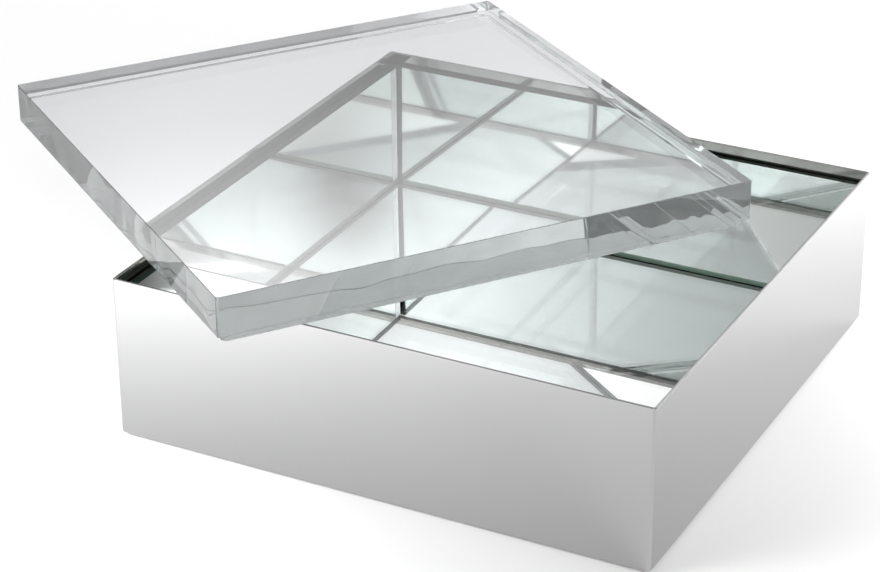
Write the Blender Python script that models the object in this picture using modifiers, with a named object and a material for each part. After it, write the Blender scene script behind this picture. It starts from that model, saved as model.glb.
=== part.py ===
"""A low square box of polished sheet metal, lined with mirror glass, under a loose clear lid.

Lengths are in metres, +Z is up. The origin is the middle of the base, on the surface it stands on.
The lid lies turned on the rim, as when someone has just set it down.
"""

import math

import bmesh
import bpy
from mathutils import Vector

# Gaps between pieces that touch or are glued
SEAT_GAP = 0.0003

# Folded metal case
CASE_SIDE = 0.300
CASE_HEIGHT = 0.0900
CASE_WALL = 0.0015
CASE_BEND_RADIUS = 0.0018
CASE_RIM_ROUND = 0.00025
BEND_SEGMENTS = 5
RIM_SEGMENTS = 2

# Felt sheet glued under the case
FELT_THICKNESS = 0.0012
FELT_MARGIN = 0.004
FELT_CORNER_RADIUS = 0.006
FELT_SEGMENTS = 6

# Mirror lining: the floor mirror lies on a foam wedge and the back mirror leans in at its foot,
# as glued-in glass does
GLASS_THICKNESS = 0.003
GLASS_ARRIS = 0.0003
WALL_BACKING_THICKNESS = 0.0003
WALL_BACKING_SETBACK = 0.0006
FLOOR_BACKING_THICKNESS = 0.0024
FLOOR_BACKING_MARGIN = 0.0008
RIM_TO_GLASS = 0.0067
CORNER_JOINT = 0.00165
FLOOR_JOINT = 0.0023
FLOOR_MIRROR_TILT = math.radians(0.57)
BACK_MIRROR_LEAN = math.radians(0.45)

# Clear lid: a slab with a rebate all round its underside
LID_OVERHANG = 0.0008
LID_SLAB_THICKNESS = 0.0219
LID_STEP_DEPTH = 0.0048
LID_STEP_CLEARANCE = 0.0018
LID_STEP_CORNER_RADIUS = 0.003
LID_STEP_SEGMENTS = 4
LID_CORNER_CHAMFER = 0.0014
LID_ARRIS = 0.0003

# Where the lid lies on the rim
LID_SHIFT_X = -0.0938
LID_SHIFT_Y = 0.0208
LID_TURN = math.radians(53.66)

# Colours, roughness and metallic values
STEEL = ("polished steel", (0.62, 0.62, 0.63), 0.04, 1.0)
MIRROR = ("mirror glass", (0.80, 0.88, 0.84), 0.02, 1.0)
FOAM = ("black foam", (0.012, 0.012, 0.012), 0.8, 0.0)
FELT = ("black felt", (0.02, 0.02, 0.022), 0.95, 0.0)
CRYSTAL = ("clear crystal", (0.97, 0.99, 0.98), 0.0, 0.0)
CRYSTAL_IOR = 1.52

# Heights and faces that the pieces share
FELT_TOP = FELT_THICKNESS
CASE_BOTTOM = FELT_TOP + SEAT_GAP
RIM_HEIGHT = CASE_BOTTOM + CASE_HEIGHT
CASE_FLOOR = CASE_BOTTOM + CASE_WALL
CASE_INNER_HALF = CASE_SIDE / 2 - CASE_WALL
LINING_BOTTOM = CASE_FLOOR + SEAT_GAP
LINING_TOP = RIM_HEIGHT - RIM_TO_GLASS
BACKING_OUTER_HALF = CASE_INNER_HALF - SEAT_GAP
BACKING_INNER_HALF = BACKING_OUTER_HALF - WALL_BACKING_THICKNESS
GLASS_OUTER_HALF = BACKING_INNER_HALF - SEAT_GAP
GLASS_INNER_HALF = GLASS_OUTER_HALF - GLASS_THICKNESS
FLOOR_GLASS_BOTTOM = LINING_BOTTOM + FLOOR_BACKING_THICKNESS + SEAT_GAP
FLOOR_GLASS_HALF = GLASS_INNER_HALF - FLOOR_JOINT
FLOOR_BACKING_HALF = FLOOR_GLASS_HALF + FLOOR_BACKING_MARGIN
LID_SIDE = CASE_SIDE + 2 * LID_OVERHANG
LID_STEP_SIDE = 2 * (CASE_INNER_HALF - LID_STEP_CLEARANCE)
LID_STEP_INSET = (LID_SIDE - LID_STEP_SIDE) / 2
LID_STEP_BOTTOM = RIM_HEIGHT + SEAT_GAP


def clear_scene():
    """Removes whatever the startup file holds."""
    for obj in list(bpy.data.objects):
        bpy.data.objects.remove(obj, do_unlink=True)


def collection_named(name):
    """A new collection in the scene."""
    made = bpy.data.collections.new(name)
    bpy.context.scene.collection.children.link(made)
    return made


def material_of(look):
    """A Principled material from a name, a colour, a roughness and a metallic value."""
    name, colour, roughness, metallic = look
    material = bpy.data.materials.get(name)
    if material:
        return material
    material = bpy.data.materials.new(name)
    material.use_nodes = True
    shader = material.node_tree.nodes["Principled BSDF"]
    shader.inputs["Base Color"].default_value = (*colour, 1.0)
    shader.inputs["Roughness"].default_value = roughness
    shader.inputs["Metallic"].default_value = metallic
    if look is CRYSTAL:
        shader.inputs["Transmission Weight"].default_value = 1.0
        shader.inputs["IOR"].default_value = CRYSTAL_IOR
    return material


def object_from(mesh_edit, name, look, parts):
    """Turns a bmesh into a named object with its material, in the parts' collection."""
    bmesh.ops.recalc_face_normals(mesh_edit, faces=mesh_edit.faces)
    mesh = bpy.data.meshes.new(name)
    mesh_edit.to_mesh(mesh)
    mesh_edit.free()
    obj = bpy.data.objects.new(name, mesh)
    mesh.materials.append(material_of(look))
    parts.objects.link(obj)
    return obj


def block(width, depth, height):
    """A bmesh box with its middle at the origin."""
    mesh_edit = bmesh.new()
    bmesh.ops.create_cube(mesh_edit, size=1.0)
    bmesh.ops.scale(mesh_edit, vec=Vector((width, depth, height)), verts=mesh_edit.verts)
    return mesh_edit


def is_vertical(edge):
    """Whether an edge runs along Z."""
    run = edge.verts[1].co - edge.verts[0].co
    return abs(run.normalized().z) > math.cos(math.radians(1))


def add_bevel(obj, name, width, segments, limit_angle=math.radians(40)):
    """Rounds, or with one segment chamfers, the edges that are sharper than the limit."""
    bevel = obj.modifiers.new(name, "BEVEL")
    bevel.width = width
    bevel.segments = segments
    bevel.limit_method = "ANGLE"
    bevel.angle_limit = limit_angle
    bevel.use_clamp_overlap = False
    return bevel


def make_case(parts):
    """The folded tray: an open box with bent edges, thickened inwards, its rim eased."""
    sheet = block(CASE_SIDE, CASE_SIDE, CASE_HEIGHT)
    top = [face for face in sheet.faces if face.normal.z > math.cos(math.radians(1))]
    bmesh.ops.delete(sheet, geom=top, context="FACES_ONLY")
    case = object_from(sheet, "outer_case", STEEL, parts)
    case.location.z = CASE_BOTTOM + CASE_HEIGHT / 2
    add_bevel(case, "bends", CASE_BEND_RADIUS, BEND_SEGMENTS)
    wall = case.modifiers.new("sheet thickness", "SOLIDIFY")
    wall.thickness = CASE_WALL
    wall.offset = -1.0
    wall.use_even_offset = True
    add_bevel(case, "rim", CASE_RIM_ROUND, RIM_SEGMENTS, math.radians(60))
    return case


def make_felt(parts):
    """The felt sheet under the case, with rounded corners."""
    side = CASE_SIDE - 2 * FELT_MARGIN
    sheet = block(side, side, FELT_THICKNESS)
    corners = [edge for edge in sheet.edges if is_vertical(edge)]
    bmesh.ops.bevel(
        sheet, geom=corners, offset=FELT_CORNER_RADIUS, segments=FELT_SEGMENTS, profile=0.5, affect="EDGES"
    )
    felt = object_from(sheet, "felt_base", FELT, parts)
    felt.location.z = FELT_TOP - FELT_THICKNESS / 2
    return felt


def make_sheet(name, low, high, look, parts):
    """A flat sheet between two corners."""
    size = Vector(high) - Vector(low)
    sheet = object_from(block(*size), name, look, parts)
    sheet.location = (Vector(low) + Vector(high)) / 2
    return sheet


def wall_corners(side, inner, outer, reach, bottom, top):
    """The low and high corner of a wall sheet on one side of the box, which is an axis and a sign."""
    axis, sign = side
    low = [-reach, -reach, bottom]
    high = [reach, reach, top]
    low[axis], high[axis] = sorted((sign * inner, sign * outer))
    return low, high


def make_wall_mirrors(parts):
    """The four wall mirrors on their films. The front and back ones run through to the corners."""
    sides = {"front": (1, -1), "right": (0, 1), "back": (1, 1), "left": (0, -1)}
    made = {}
    for word, side in sides.items():
        reach = GLASS_OUTER_HALF if side[0] == 1 else GLASS_INNER_HALF - CORNER_JOINT
        glass = wall_corners(side, GLASS_INNER_HALF, GLASS_OUTER_HALF, reach, LINING_BOTTOM, LINING_TOP)
        film = wall_corners(
            side,
            BACKING_INNER_HALF,
            BACKING_OUTER_HALF,
            reach - WALL_BACKING_SETBACK,
            LINING_BOTTOM,
            LINING_TOP - WALL_BACKING_SETBACK,
        )
        mirror = make_sheet("mirror_" + word, *glass, MIRROR, parts)
        add_bevel(mirror, "arris", GLASS_ARRIS, 1)
        made[word] = [mirror, make_sheet("backing_" + word, *film, FOAM, parts)]
    return made


def lean_inwards(sheets, parts):
    """Swings the back sheets in at the foot, about the mirror's upper front edge."""
    hinge = bpy.data.objects.new("back_mirror_top_edge", None)
    hinge.location = (0, GLASS_INNER_HALF, LINING_TOP)
    hinge.rotation_euler.x = -BACK_MIRROR_LEAN
    parts.objects.link(hinge)
    for sheet in sheets:
        sheet.location -= hinge.location
        sheet.parent = hinge


def make_floor_mirror(parts):
    """The floor mirror, let in between the walls, on a foam wedge that follows its tilt."""
    half = FLOOR_BACKING_HALF
    foam = block(2 * half, 2 * half, FLOOR_BACKING_THICKNESS)
    for corner in foam.verts:
        if corner.co.z > 0:
            corner.co.z += corner.co.y * math.tan(FLOOR_MIRROR_TILT)
    wedge = object_from(foam, "backing_floor", FOAM, parts)
    wedge.location.z = LINING_BOTTOM + FLOOR_BACKING_THICKNESS / 2
    glass = block(2 * FLOOR_GLASS_HALF, 2 * FLOOR_GLASS_HALF, GLASS_THICKNESS)
    mirror = object_from(glass, "mirror_floor", MIRROR, parts)
    mirror.location.z = FLOOR_GLASS_BOTTOM + GLASS_THICKNESS / 2
    mirror.rotation_euler.x = FLOOR_MIRROR_TILT
    add_bevel(mirror, "arris", GLASS_ARRIS, 1)


def make_lid(parts):
    """The clear lid: its step is drawn down from the underside, then corners and edges are eased."""
    slab = block(LID_SIDE, LID_SIDE, LID_SLAB_THICKNESS)
    bmesh.ops.translate(slab, vec=Vector((0, 0, LID_STEP_DEPTH + LID_SLAB_THICKNESS / 2)), verts=slab.verts)
    under = min(slab.faces, key=lambda face: face.calc_center_median().z)
    bmesh.ops.inset_region(slab, faces=[under], thickness=LID_STEP_INSET, use_even_offset=True)
    step = bmesh.ops.extrude_discrete_faces(slab, faces=[under])["faces"][0]
    bmesh.ops.translate(slab, vec=Vector((0, 0, -LID_STEP_DEPTH)), verts=step.verts)
    posts = [edge for edge in slab.edges if is_vertical(edge)]
    step_posts = [post for post in posts if step in {face for v in post.verts for face in v.link_faces}]
    slab_posts = [post for post in posts if post not in step_posts]
    bmesh.ops.bevel(
        slab,
        geom=step_posts,
        offset=LID_STEP_CORNER_RADIUS,
        segments=LID_STEP_SEGMENTS,
        profile=0.5,
        affect="EDGES",
    )
    bmesh.ops.bevel(slab, geom=slab_posts, offset=LID_CORNER_CHAMFER, segments=1, profile=0.5, affect="EDGES")
    lid = object_from(slab, "lid", CRYSTAL, parts)
    lid.location = (LID_SHIFT_X, LID_SHIFT_Y, LID_STEP_BOTTOM)
    lid.rotation_euler.z = LID_TURN
    add_bevel(lid, "arris", LID_ARRIS, 1, math.radians(60))
    return lid


def smooth_round_pieces(objects):
    """Shades the bends and corners smooth, with the flat faces kept crisp."""
    for obj in objects:
        obj.data.shade_smooth()
        obj.data.set_sharp_from_angle(angle=math.radians(40))


def build():
    """Makes every piece of the box in its place."""
    clear_scene()
    parts = collection_named("mirror_box")
    case = make_case(parts)
    felt = make_felt(parts)
    walls = make_wall_mirrors(parts)
    lean_inwards(walls["back"], parts)
    make_floor_mirror(parts)
    make_lid(parts)
    smooth_round_pieces([case, felt])


build()
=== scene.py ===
"""Looks of the lidded mirror box, in metres, +Z up, in the frame of the CAD model.

Every mirror is a real sheet of glass: a clear front face, a silvered back face and green edges.
The lid is a clear block, and the case is polished sheet metal, so their looks come from what they mirror.
"""

import math

import bmesh
import bpy
from mathutils import Matrix, Vector


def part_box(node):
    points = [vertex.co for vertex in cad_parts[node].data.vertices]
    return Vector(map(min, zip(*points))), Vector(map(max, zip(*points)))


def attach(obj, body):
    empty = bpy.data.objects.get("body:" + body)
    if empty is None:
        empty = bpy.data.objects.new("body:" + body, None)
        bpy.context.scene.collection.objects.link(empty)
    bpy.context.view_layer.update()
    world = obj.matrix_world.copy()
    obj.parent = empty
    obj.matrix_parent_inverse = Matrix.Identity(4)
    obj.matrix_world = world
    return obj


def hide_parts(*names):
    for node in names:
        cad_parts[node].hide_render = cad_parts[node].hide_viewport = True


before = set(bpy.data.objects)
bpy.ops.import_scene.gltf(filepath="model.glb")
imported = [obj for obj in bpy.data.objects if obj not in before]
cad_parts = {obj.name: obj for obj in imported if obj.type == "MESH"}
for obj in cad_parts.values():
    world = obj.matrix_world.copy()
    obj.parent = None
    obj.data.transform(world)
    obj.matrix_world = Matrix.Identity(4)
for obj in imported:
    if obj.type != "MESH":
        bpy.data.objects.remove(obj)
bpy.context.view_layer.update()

# Camera, from the fit to the photograph
CAMERA_PLACE = (0.55193, -1.13941, 0.68735)
CAMERA_YAW = math.radians(27.447)
CAMERA_PITCH = math.radians(26.573)
CAMERA_ROLL = math.radians(-0.270)
CAMERA_LENS = 108.07
CAMERA_SENSOR = 36.0
CAMERA_NEAR = 0.05
CAMERA_FAR = 200.0

# Case of folded sheet metal
CASE_WALL = 0.0015
CASE_BEND_RADIUS = 0.0018
CASE_RIM_ROUND = 0.00065
BEND_SEGMENTS = 12
RIM_SEGMENTS = 4
BEND_LIMIT = math.radians(40)
RIM_LIMIT = math.radians(60)
OUTSIDE_FACE, INSIDE_FACE = range(2)

# Mirror sheets
MIRROR_THICKNESS = 0.003
LEFT_MIRROR_EXTRA = 0.002
MERGE_DISTANCE = 0.000001
UPWARD = 0.1
GLASS_FACE, SILVER_FACE, TOP_EDGE, CUT_EDGE, GROUND_EDGE = range(5)

# Clear lid
LID_SIDE = 0.3016
LID_STEP_SIDE = 0.2934
LID_STEP_DEPTH = 0.0048
LID_STEP_CORNER_RADIUS = 0.003
LID_STEP_FILLET = 0.0008
LID_CORNER_CHAMFER = 0.0014
LID_ARRIS = 0.0003
LID_ROUND_SEGMENTS = 6
LID_CHAMFER_SEGMENTS = 4
LID_ARRIS_SEGMENTS = 3
LID_SHARP_LIMIT = math.radians(60)
LID_TURN = math.radians(53.66)

# Felt sheet under the case
FELT_CORNER_RADIUS = 0.006
FELT_SEGMENTS = 12
FELT_EDGE_ROUND = 0.0004
FELT_EDGE_SEGMENTS = 3
FELT_EDGE_LIMIT = math.radians(50)

# Meshes in general: two directions are one within a degree, and a face faces a way within three
SAME_ANGLE = math.radians(1)
SAME_WAY = math.cos(SAME_ANGLE)
FACING = math.cos(math.radians(3))
ROUND_PROFILE = 0.5
FLAT_WEIGHT = 100

# Colours are linear
WHITE = (1.0, 1.0, 1.0, 1.0)
METAL_COLOUR = (0.46, 0.46, 0.463)
METAL_COLOUR_WORN = (0.44, 0.44, 0.443)
INSIDE_COLOUR = (0.47, 0.455, 0.44)
INSIDE_COLOUR_WORN = (0.44, 0.425, 0.41)
GLASS_COLOUR = (0.965, 0.985, 0.977)
GLASS_IOR = 1.52
SILVER_COLOUR = (0.93, 0.94, 0.935)
# The upper edge of a wall mirror is painted nearly black, as painted shade for the dark seen looking down
# into the glass; the second colour is its random wander
TOP_EDGE_SHADE_COLOUR = (0.004, 0.010, 0.006)
TOP_EDGE_SHADE_COLOUR_LIGHT = (0.010, 0.022, 0.014)
EDGE_COLOUR = (0.50, 0.66, 0.58)
GROUND_COLOUR = (0.36, 0.50, 0.405)
FOAM_COLOUR = (0.008, 0.008, 0.008)
FOAM_COLOUR_LIGHT = (0.016, 0.016, 0.016)
FELT_COLOUR = (0.012, 0.012, 0.013)
FELT_COLOUR_LIGHT = (0.032, 0.032, 0.034)
LID_COLOUR = (0.76, 0.77, 0.785)
LID_IOR = 1.50
LID_VEIL_COLOUR = (0.78, 0.80, 0.79)
LID_VEIL_DENSITY = 8.0
FLOOR_COLOUR = (0.82, 0.82, 0.82)

# Shares that a second, paler or darker colour keeps of the first
GLASS_TINT_SHARE = 0.9
SILVER_DIM_SHARE = 0.985
EDGE_DARK_SHARE = 0.8
LID_TINT_SHARE = 0.95

# Patterns, as features in a metre, and the part of their range that is used
METAL_CLOUDS = 9.0
METAL_GRAIN = 160.0
INSIDE_CLOUDS = 60.0
INSIDE_GRAIN = 900.0
GLASS_CLOUDS = 14.0
SILVER_CLOUDS = 30.0
EDGE_GRAIN = 700.0
TOP_EDGE_CHIPS = 2500.0
FOAM_CELLS = 1800.0
FELT_FIBRES = 1500.0
FELT_FIBRE_DETAIL = 6.0
FELT_FIBRE_ROUGHNESS = 0.7
LID_CLOUDS = 8.0
LID_WAVES = 32.0
LID_WAVE_DETAIL = 1.0
LID_WAVE_ROUGHNESS = 0.4
PATTERN_DETAIL = 3.0
PATTERN_ROUGHNESS = 0.5
PATTERN_RANGE = (0.3, 0.7)
FELT_RANGE = (0.35, 0.65)

# Heights of the patterns, and the share of them that shows
TOP_EDGE_CHIP_HEIGHT = 0.0001
TOP_EDGE_CHIP_SHARE = 0.25
FOAM_CELL_HEIGHT = 0.0002
FOAM_CELL_SHARE = 0.5
FELT_FIBRE_HEIGHT = 0.0003
FELT_FIBRE_SHARE = 0.8
LID_WAVE_HEIGHT = 0.0006
LID_WAVE_SHARE = 1.0

# The upward share of a normal below which a face of the lid is a wavy side, and above which it is plane
LID_SIDE_RANGE = (0.3, 0.6)

# Gloss
METAL_ROUGHNESS = (0.02, 0.05)
INSIDE_ROUGHNESS = (0.02, 0.045)
TOP_EDGE_ROUGHNESS = 0.35
TOP_EDGE_SPECULAR = 0.15
CUT_EDGE_ROUGHNESS = 0.25
GROUND_EDGE_ROUGHNESS = 0.5
FOAM_ROUGHNESS = 0.9
FOAM_SPECULAR = 0.2
FELT_ROUGHNESS = 0.95
FELT_SPECULAR = 0.1
FELT_SHEEN = 0.3
FELT_SHEEN_ROUGHNESS = 0.6
FLOOR_ROUGHNESS = 0.9

# Sockets of a Mix node that blends colours
MIX_FIRST = 6
MIX_SECOND = 7
MIX_RESULT = 2

# Light paths
SPECULAR_BOUNCES = 48
DIFFUSE_BOUNCES = 4

# Studio. Each soft box of the dome has an azimuth and an elevation in degrees, a tightness and a strength.
FLOOR_HALF = 20.0
DOME_LEVEL = 0.4
SOFT_BOXES = (
    (63.0, 29.5, 600, 0.50),
    (68.6, 30, 80, 1.56),
    (74.6, 18, 80, 2.18),
    (105.4, 24, 80, 1.05),
    (114.5, 25.3, 700, 0.55),
    (115.2, 30.3, 900, 0.25),
    (118.5, 30.5, 900, 0.90),
    (120.0, 27, 250, 0.21),
    (123.0, 27, 250, 0.23),
    (230.6, 30, 80, 2.74),
    (236.6, 18, 80, 1.82),
    (242.6, 37, 80, 0.41),
    (270.0, 50, 25, 0.26),
    (285.4, 24, 80, 3.43),
    (285.4, 30, 80, 0.86),
    (309.4, 37, 80, 5.28),
)

# Soft boxes of the same kind that only plain reflections show, for the sheen on top of the lid
SHEEN_BOXES = (
    (120.0, 27, 250, 0.48),
    (123.0, 27, 250, 0.54),
    (120.0, 29, 300, 2.7),
    (125.0, 28.5, 500, 2.9),
)

# Dark slots between the soft boxes, as lobes that are taken away from the light
SLOTS = (
    (54.3, 26.9, 2500, 0.62),
    (299.5, 22.3, 5000, 0.40),
    (299.8, 23.8, 5000, 0.80),
    (300.0, 25.3, 5000, 0.95),
    (300.1, 26.8, 5000, 1.10),
)

# Lamps over the floor round the box: place, size and power
FLOOR_LAMPS = (
    ((-0.35, -0.55, 0.35), 0.3, 7.1),
    ((0.42, 0.55, 0.35), 0.3, 2.6),
    ((0.62, 0.35, 0.35), 0.3, 5.6),
    ((-1.2, 1.4, 1.0), 1.6, 20.0),
)


class Shader:
    """A material under construction: a Principled shader and short calls to add nodes to it."""

    def __init__(self, name):
        self.material = bpy.data.materials.new(name)
        self.material.use_nodes = True
        self.tree = self.material.node_tree
        self.principled = self.tree.nodes["Principled BSDF"]

    def set(self, **values):
        """Sets sockets of the Principled shader. An underscore in a name stands for a space."""
        for key, value in values.items():
            if isinstance(value, tuple):
                value = (*value, 1.0)
            self.principled.inputs[key.replace("_", " ")].default_value = value
        return self

    def node(self, kind, **settings):
        """Adds a node and sets its properties or its input sockets."""
        made = self.tree.nodes.new(kind)
        for key, value in settings.items():
            if key in made.bl_rna.properties:
                setattr(made, key, value)
            else:
                made.inputs[key.replace("_", " ")].default_value = value
        return made

    def link(self, source, target):
        self.tree.links.new(source, target)

    def place(self):
        """Object coordinates, which are metres in the model's frame."""
        return self.node("ShaderNodeTexCoord").outputs["Object"]

    def noise(self, scale, detail=PATTERN_DETAIL, roughness=PATTERN_ROUGHNESS):
        """A noise value from 0 to 1 with about scale features in a metre."""
        made = self.node("ShaderNodeTexNoise", Scale=scale, Detail=detail, Roughness=roughness)
        self.link(self.place(), made.inputs["Vector"])
        return made.outputs["Fac"]

    def spread(self, source, before, after):
        """Maps a value from one range to another."""
        made = self.node(
            "ShaderNodeMapRange", From_Min=before[0], From_Max=before[1], To_Min=after[0], To_Max=after[1]
        )
        self.link(source, made.inputs["Value"])
        return made.outputs["Result"]

    def vary_roughness(self, source, between):
        """Roughness between two values, by a noise."""
        self.link(self.spread(source, PATTERN_RANGE, between), self.principled.inputs["Roughness"])

    def blend(self, source, first, second):
        """A colour between two, by a value from 0 to 1, into the base colour."""
        made = self.node("ShaderNodeMix", data_type="RGBA")
        made.inputs[MIX_FIRST].default_value = (*first, 1.0)
        made.inputs[MIX_SECOND].default_value = (*second, 1.0)
        self.link(source, made.inputs[0])
        self.link(made.outputs[MIX_RESULT], self.principled.inputs["Base Color"])

    def relief(self, source, share, height):
        """A bump from a value between 0 and 1."""
        made = self.node("ShaderNodeBump", Strength=share, Distance=height)
        self.link(source, made.inputs["Height"])
        self.link(made.outputs["Normal"], self.principled.inputs["Normal"])


def fainter(colour, share):
    """A clear colour with a share of its tint."""
    return tuple(1 - (1 - value) * share for value in colour)


def darker(colour, share):
    """A colour with a share of its brightness."""
    return tuple(value * share for value in colour)


def metal_material():
    """Polished sheet metal with a faint wander of its polish."""
    look = Shader("polished metal").set(Metallic=1.0)
    look.blend(look.noise(METAL_CLOUDS), METAL_COLOUR_WORN, METAL_COLOUR)
    look.vary_roughness(look.noise(METAL_GRAIN), METAL_ROUGHNESS)
    return look.material


def glass_material():
    """The clear front of a mirror sheet, with the faint green of float glass."""
    look = Shader("mirror glass").set(Transmission_Weight=1.0, IOR=GLASS_IOR, Roughness=0.0)
    look.blend(look.noise(GLASS_CLOUDS), GLASS_COLOUR, fainter(GLASS_COLOUR, GLASS_TINT_SHARE))
    return look.material


def silver_material():
    """The silvering on the back of a mirror sheet, seen through its glass."""
    look = Shader("mirror silver").set(Metallic=1.0, Roughness=0.0)
    look.blend(look.noise(SILVER_CLOUDS), SILVER_COLOUR, darker(SILVER_COLOUR, SILVER_DIM_SHARE))
    return look.material


def inside_material():
    """The inside of the sheet metal, a little less bright than its outside."""
    look = Shader("inside metal").set(Metallic=1.0)
    look.blend(look.noise(INSIDE_CLOUDS), INSIDE_COLOUR_WORN, INSIDE_COLOUR)
    look.vary_roughness(look.noise(INSIDE_GRAIN), INSIDE_ROUGHNESS)
    return look.material


def edge_material(name, colour, clear, roughness):
    """The edge of a mirror sheet, greener than its faces. Light enters the clear share of it."""
    look = Shader(name).set(Transmission_Weight=clear, IOR=GLASS_IOR, Roughness=roughness)
    look.blend(look.noise(EDGE_GRAIN), darker(colour, EDGE_DARK_SHARE), colour)
    return look.material


def top_edge_material():
    """The upper edge of a wall mirror, painted nearly black: painted shade for the dark seen where one looks
    down into the green of the glass.
    """
    look = Shader("upper glass edge").set(Roughness=TOP_EDGE_ROUGHNESS, Specular_IOR_Level=TOP_EDGE_SPECULAR)
    look.blend(look.noise(EDGE_GRAIN), TOP_EDGE_SHADE_COLOUR, TOP_EDGE_SHADE_COLOUR_LIGHT)
    look.relief(look.noise(TOP_EDGE_CHIPS), TOP_EDGE_CHIP_SHARE, TOP_EDGE_CHIP_HEIGHT)
    return look.material


def foam_material():
    """Black closed-cell mounting foam."""
    look = Shader("black foam").set(Roughness=FOAM_ROUGHNESS, Specular_IOR_Level=FOAM_SPECULAR)
    cells = look.node("ShaderNodeTexVoronoi", Scale=FOAM_CELLS)
    look.link(look.place(), cells.inputs["Vector"])
    look.blend(cells.outputs["Distance"], FOAM_COLOUR, FOAM_COLOUR_LIGHT)
    look.relief(cells.outputs["Distance"], FOAM_CELL_SHARE, FOAM_CELL_HEIGHT)
    return look.material


def felt_material():
    """Black pressed felt."""
    look = Shader("black felt").set(Roughness=FELT_ROUGHNESS, Specular_IOR_Level=FELT_SPECULAR)
    look.set(Sheen_Weight=FELT_SHEEN, Sheen_Roughness=FELT_SHEEN_ROUGHNESS)
    fibres = look.noise(FELT_FIBRES, FELT_FIBRE_DETAIL, FELT_FIBRE_ROUGHNESS)
    look.blend(look.spread(fibres, FELT_RANGE, (0.0, 1.0)), FELT_COLOUR, FELT_COLOUR_LIGHT)
    look.relief(fibres, FELT_FIBRE_SHARE, FELT_FIBRE_HEIGHT)
    return look.material


def lid_material():
    """The clear block of the lid. Its sides are flame polished, which leaves them faintly wavy."""
    look = Shader("clear crystal").set(Transmission_Weight=1.0, IOR=LID_IOR, Roughness=0.0)
    look.blend(look.noise(LID_CLOUDS), LID_COLOUR, fainter(LID_COLOUR, LID_TINT_SHARE))
    upright = look.node("ShaderNodeSeparateXYZ")
    look.link(look.node("ShaderNodeNewGeometry").outputs["True Normal"], upright.inputs[0])
    level = look.node("ShaderNodeMath", operation="ABSOLUTE")
    look.link(upright.outputs["Z"], level.inputs[0])
    wave = look.node("ShaderNodeMath", operation="MULTIPLY")
    look.link(look.spread(level.outputs[0], LID_SIDE_RANGE, (1.0, 0.0)), wave.inputs[0])
    look.link(look.noise(LID_WAVES, LID_WAVE_DETAIL, LID_WAVE_ROUGHNESS), wave.inputs[1])
    look.relief(wave.outputs[0], LID_WAVE_SHARE, LID_WAVE_HEIGHT)
    veil = look.node("ShaderNodeVolumeAbsorption", Color=(*LID_VEIL_COLOUR, 1.0), Density=LID_VEIL_DENSITY)
    look.link(veil.outputs["Volume"], look.tree.nodes["Material Output"].inputs["Volume"])
    return look.material


def floor_material():
    """A plain pale studio floor."""
    look = Shader("studio floor").set(Roughness=FLOOR_ROUGHNESS, Specular_IOR_Level=0.0)
    return look.set(Base_Color=FLOOR_COLOUR).material


def finished(edit, name, materials):
    """Turns a bmesh into an object in the scene, with its materials."""
    mesh = bpy.data.meshes.new(name)
    edit.to_mesh(mesh)
    edit.free()
    for material in materials:
        mesh.materials.append(material)
    obj = bpy.data.objects.new(name, mesh)
    bpy.context.scene.collection.objects.link(obj)
    return obj


def block_between(low, high):
    """A bmesh box between two corners."""
    edit = bmesh.new()
    bmesh.ops.create_cube(edit, size=1.0)
    size = Vector(high) - Vector(low)
    bmesh.ops.scale(edit, vec=size, verts=edit.verts)
    bmesh.ops.translate(edit, vec=(Vector(low) + Vector(high)) / 2, verts=edit.verts)
    return edit


def bevel(edit, edges, offset, segments):
    """Rounds or chamfers edges of a bmesh."""
    bmesh.ops.bevel(
        edit,
        geom=edges,
        offset=offset,
        segments=segments,
        profile=ROUND_PROFILE,
        affect="EDGES",
        clamp_overlap=True,
    )


def order_faces(edit):
    """Sorts a bmesh's faces by their vertices. A bevel leaves them in another order each time."""
    edit.verts.index_update()
    ordered = sorted(edit.faces, key=lambda face: sorted(vert.index for vert in face.verts))
    for number, face in enumerate(ordered):
        face.index = number
    edit.faces.sort()


def is_vertical(edge):
    """Whether an edge runs along Z."""
    run = edge.verts[1].co - edge.verts[0].co
    return abs(run.normalized().z) > SAME_WAY


def apply_modifiers(obj):
    """Turns an object's modifiers into plain mesh."""
    graph = bpy.context.evaluated_depsgraph_get()
    mesh = bpy.data.meshes.new_from_object(obj.evaluated_get(graph))
    obj.modifiers.clear()
    obj.data = mesh


def add_bevel(obj, width, segments, limit_angle):
    """A bevel modifier on the edges sharper than the limit."""
    made = obj.modifiers.new("bevel", "BEVEL")
    made.width = width
    made.segments = segments
    made.limit_method = "ANGLE"
    made.angle_limit = limit_angle
    made.use_clamp_overlap = False


def keep_flats_flat(obj):
    """Weights the normals so that flat faces mirror as flat ones, and only the bends are shaded round."""
    made = obj.modifiers.new("flat faces", "WEIGHTED_NORMAL")
    made.weight = FLAT_WEIGHT


def make_case(polished, inside_look):
    """The folded tray, with round bends and an eased rim."""
    low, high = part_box("outer_case")
    edit = block_between(low, high)
    top = [face for face in edit.faces if face.normal.z > SAME_WAY]
    bmesh.ops.delete(edit, geom=top, context="FACES_ONLY")
    case = finished(edit, "case_shell", [polished, inside_look])
    case.data.shade_smooth()
    add_bevel(case, CASE_BEND_RADIUS, BEND_SEGMENTS, BEND_LIMIT)
    wall = case.modifiers.new("sheet thickness", "SOLIDIFY")
    wall.thickness = CASE_WALL
    wall.offset = -1.0
    wall.use_even_offset = True
    add_bevel(case, CASE_RIM_ROUND, RIM_SEGMENTS, RIM_LIMIT)
    keep_flats_flat(case)
    apply_modifiers(case)
    mid_wall = high[0] - CASE_WALL / 2
    mid_bottom = low[2] + CASE_WALL / 2
    for face in case.data.polygons:
        across = max(abs(face.center.x), abs(face.center.y))
        inside = across < mid_wall and face.center.z > mid_bottom
        face.material_index = INSIDE_FACE if inside else OUTSIDE_FACE
    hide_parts("outer_case")
    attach(case, "box")


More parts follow.
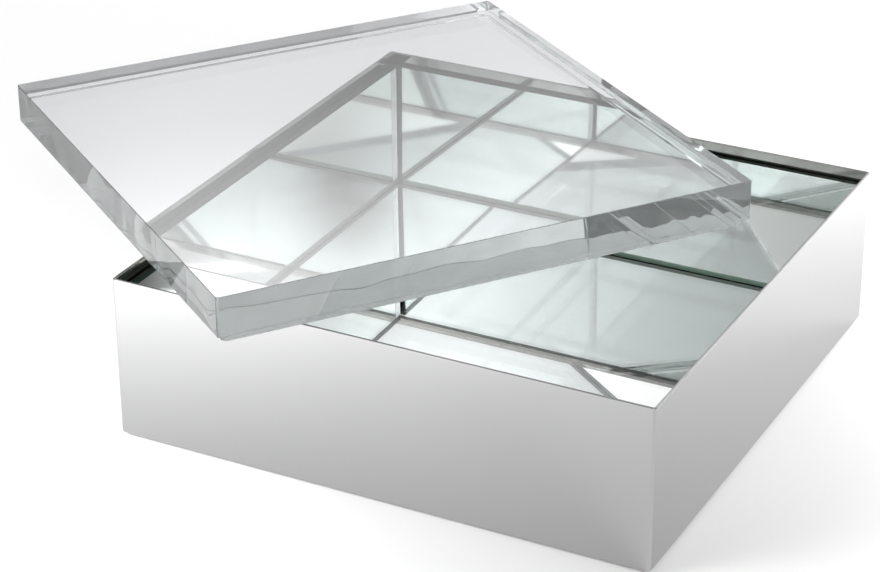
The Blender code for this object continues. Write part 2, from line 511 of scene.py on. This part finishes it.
def make_mirror(word, inward, materials):
    """One mirror sheet. Its faces are glass towards the inside of the box and silver behind."""
    node = "mirror_" + word
    edit = bmesh.new()
    edit.from_mesh(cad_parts[node].data)
    bmesh.ops.remove_doubles(edit, verts=edit.verts, dist=MERGE_DISTANCE)
    bmesh.ops.dissolve_limit(edit, angle_limit=SAME_ANGLE, verts=edit.verts, edges=edit.edges)
    bmesh.ops.recalc_face_normals(edit, faces=edit.faces)
    if word == "left":
        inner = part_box(node)[1][0] - MIRROR_THICKNESS / 2
        for vert in edit.verts:
            if vert.co.x > inner:
                vert.co.x += LEFT_MIRROR_EXTRA
    for face in edit.faces:
        face.smooth = False
        facing = face.normal.dot(Vector(inward))
        if facing > FACING:
            face.material_index = GLASS_FACE
        elif facing < -FACING:
            face.material_index = SILVER_FACE
        elif word == "floor":
            face.material_index = GROUND_EDGE
        else:
            face.material_index = TOP_EDGE if face.normal.z > UPWARD else CUT_EDGE
    sheet = finished(edit, node + "_sheet", materials)
    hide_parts(node)
    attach(sheet, "box")


def make_lid(material):
    """The clear block, with its rebate, ground corners and small round arrises."""
    low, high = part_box("lid")
    edit = block_between(
        (-LID_SIDE / 2, -LID_SIDE / 2, LID_STEP_DEPTH), (LID_SIDE / 2, LID_SIDE / 2, high[2] - low[2])
    )
    under = min(edit.faces, key=lambda face: face.calc_center_median().z)
    rebate = (LID_SIDE - LID_STEP_SIDE) / 2
    bmesh.ops.inset_region(edit, faces=[under], thickness=rebate, use_even_offset=True)
    step = bmesh.ops.extrude_discrete_faces(edit, faces=[under])["faces"][0]
    bmesh.ops.translate(edit, vec=Vector((0, 0, -LID_STEP_DEPTH)), verts=step.verts)
    posts = [edge for edge in edit.edges if is_vertical(edge)]
    step_posts = [post for post in posts if any(step in vert.link_faces for vert in post.verts)]
    bevel(edit, step_posts, LID_STEP_CORNER_RADIUS, LID_ROUND_SEGMENTS)
    block_posts = [post for post in posts if post.is_valid and post not in step_posts]
    bevel(edit, block_posts, LID_CORNER_CHAMFER, LID_CHAMFER_SEGMENTS)
    bmesh.ops.recalc_face_normals(edit, faces=edit.faces)
    hollow = [edge for edge in edit.edges if not edge.is_convex and edge.calc_face_angle() > LID_SHARP_LIMIT]
    bevel(edit, hollow, LID_STEP_FILLET, LID_ROUND_SEGMENTS)
    bmesh.ops.recalc_face_normals(edit, faces=edit.faces)
    order_faces(edit)
    lid = finished(edit, "lid_block", [material])
    lid.data.shade_smooth()
    add_bevel(lid, LID_ARRIS, LID_ARRIS_SEGMENTS, LID_SHARP_LIMIT)
    keep_flats_flat(lid)
    apply_modifiers(lid)
    middle = ((low[0] + high[0]) / 2, (low[1] + high[1]) / 2, low[2])
    lid.data.transform(Matrix.Translation(middle) @ Matrix.Rotation(LID_TURN, 4, "Z"))
    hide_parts("lid")
    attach(lid, "lid")


def make_felt(material):
    """The felt sheet under the case."""
    low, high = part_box("felt_base")
    edit = block_between(low, high)
    bevel(edit, [edge for edge in edit.edges if is_vertical(edge)], FELT_CORNER_RADIUS, FELT_SEGMENTS)
    felt = finished(edit, "felt_sheet", [material])
    felt.data.shade_smooth()
    add_bevel(felt, FELT_EDGE_ROUND, FELT_EDGE_SEGMENTS, FELT_EDGE_LIMIT)
    keep_flats_flat(felt)
    apply_modifiers(felt)
    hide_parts("felt_base")
    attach(felt, "box")


def dress(node, material):
    """Gives a CAD node that stays a better material."""
    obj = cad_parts[node]
    obj.data.materials.clear()
    obj.data.materials.append(material)


def make_camera():
    """The camera where the photographer stood."""
    cosine = math.cos(CAMERA_PITCH)
    ahead = Vector((-math.sin(CAMERA_YAW) * cosine, math.cos(CAMERA_YAW) * cosine, -math.sin(CAMERA_PITCH)))
    right = Vector((math.cos(CAMERA_YAW), math.sin(CAMERA_YAW), 0.0))
    upward = right.cross(ahead)
    turned_right = math.cos(CAMERA_ROLL) * right + math.sin(CAMERA_ROLL) * upward
    turned_up = math.cos(CAMERA_ROLL) * upward - math.sin(CAMERA_ROLL) * right
    data = bpy.data.cameras.new("camera")
    data.lens = CAMERA_LENS
    data.sensor_width = CAMERA_SENSOR
    data.sensor_fit = "HORIZONTAL"
    data.clip_start = CAMERA_NEAR
    data.clip_end = CAMERA_FAR
    camera = bpy.data.objects.new("camera", data)
    bpy.context.scene.collection.objects.link(camera)
    columns = Matrix((turned_right, turned_up, -ahead)).transposed()
    camera.matrix_world = Matrix.Translation(CAMERA_PLACE) @ columns.to_4x4()
    bpy.context.scene.camera = camera


def make_floor():
    """A plain floor that the box stands on."""
    edit = bmesh.new()
    bmesh.ops.create_grid(edit, x_segments=1, y_segments=1, size=FLOOR_HALF)
    floor = finished(edit, "studio_floor", [floor_material()])


def computed(tree, operation, first, second=0.0):
    """The result of a Math node with a linked first input, and a number or a link as its second."""
    made = tree.nodes.new("ShaderNodeMath")
    made.operation = operation
    tree.links.new(first, made.inputs[0])
    if isinstance(second, float):
        made.inputs[1].default_value = second
    else:
        tree.links.new(second, made.inputs[1])
    return made.outputs[0]


def lobes(tree, boxes, level):
    """Adds a smooth lobe of light for each soft box to a level, and returns the sum's socket."""
    ray = tree.nodes.new("ShaderNodeTexCoord").outputs["Generated"]
    total = level
    for azimuth, elevation, tightness, strength in boxes:
        turn = math.radians(azimuth)
        rise = math.radians(elevation)
        towards = tree.nodes.new("ShaderNodeVectorMath")
        towards.operation = "DOT_PRODUCT"
        towards.inputs[1].default_value = (
            math.cos(rise) * math.cos(turn), math.cos(rise) * math.sin(turn), math.sin(rise)
        )
        tree.links.new(ray, towards.inputs[0])
        nearness = computed(tree, "MULTIPLY", towards.outputs["Value"], float(tightness))
        lobe = computed(tree, "EXPONENT", computed(tree, "ADD", nearness, math.log(strength) - tightness))
        total = computed(tree, "ADD", lobe, total)
    return total


def make_world():
    """A studio dome: an even level, soft boxes with dark slots, and a sheen that only reflections show."""
    world = bpy.data.worlds.new("studio")
    bpy.context.scene.world = world
    world.use_nodes = True
    tree = world.node_tree
    mirrored = tree.nodes.new("ShaderNodeLightPath").outputs["Is Reflection Ray"]
    sheen = computed(tree, "MULTIPLY", lobes(tree, SHEEN_BOXES, 0.0), mirrored)
    light = computed(tree, "ADD", lobes(tree, SOFT_BOXES, DOME_LEVEL), sheen)
    slotted = computed(tree, "SUBTRACT", light, lobes(tree, SLOTS, 0.0))
    background = tree.nodes["Background"]
    background.inputs["Color"].default_value = WHITE
    tree.links.new(slotted, background.inputs["Strength"])


def make_floor_lamps():
    """Soft lamps that whiten the floor round the box, and aren't seen or mirrored themselves."""
    for number, (place, size, power) in enumerate(FLOOR_LAMPS):
        data = bpy.data.lights.new(f"floor_lamp_{number}", "AREA")
        data.shape = "SQUARE"
        data.size = size
        data.energy = power
        lamp = bpy.data.objects.new(f"floor_lamp_{number}", data)
        lamp.location = place
        lamp.visible_camera = False
        lamp.visible_glossy = False
        lamp.visible_transmission = False
        bpy.context.scene.collection.objects.link(lamp)


def set_light_paths():
    """Lets light pass the many faces of the mirrors, with plain colours."""
    scene = bpy.context.scene
    scene.cycles.max_bounces = SPECULAR_BOUNCES
    scene.cycles.diffuse_bounces = DIFFUSE_BOUNCES
    scene.cycles.glossy_bounces = SPECULAR_BOUNCES
    scene.cycles.transmission_bounces = SPECULAR_BOUNCES
    scene.cycles.caustics_reflective = True
    scene.cycles.caustics_refractive = True
    scene.cycles.blur_glossy = 0.0
    scene.view_settings.view_transform = "Standard"


def build():
    """Makes the camera, the studio and every piece."""
    make_camera()
    make_floor()
    make_world()
    make_floor_lamps()
    set_light_paths()
    make_case(metal_material(), inside_material())
    mirror_looks = [
        glass_material(),
        silver_material(),
        top_edge_material(),
        edge_material("cut glass edge", EDGE_COLOUR, 1.0, CUT_EDGE_ROUGHNESS),
        edge_material("ground glass edge", GROUND_COLOUR, 0.0, GROUND_EDGE_ROUGHNESS),
    ]
    inward = {
        "front": (0, 1, 0),
        "back": (0, -1, 0),
        "left": (1, 0, 0),
        "right": (-1, 0, 0),
        "floor": (0, 0, 1),
    }
    for word, direction in inward.items():
        make_mirror(word, direction, mirror_looks)
    foam = foam_material()
    for word in inward:
        dress("backing_" + word, foam)
    make_felt(felt_material())
    make_lid(lid_material())


build()
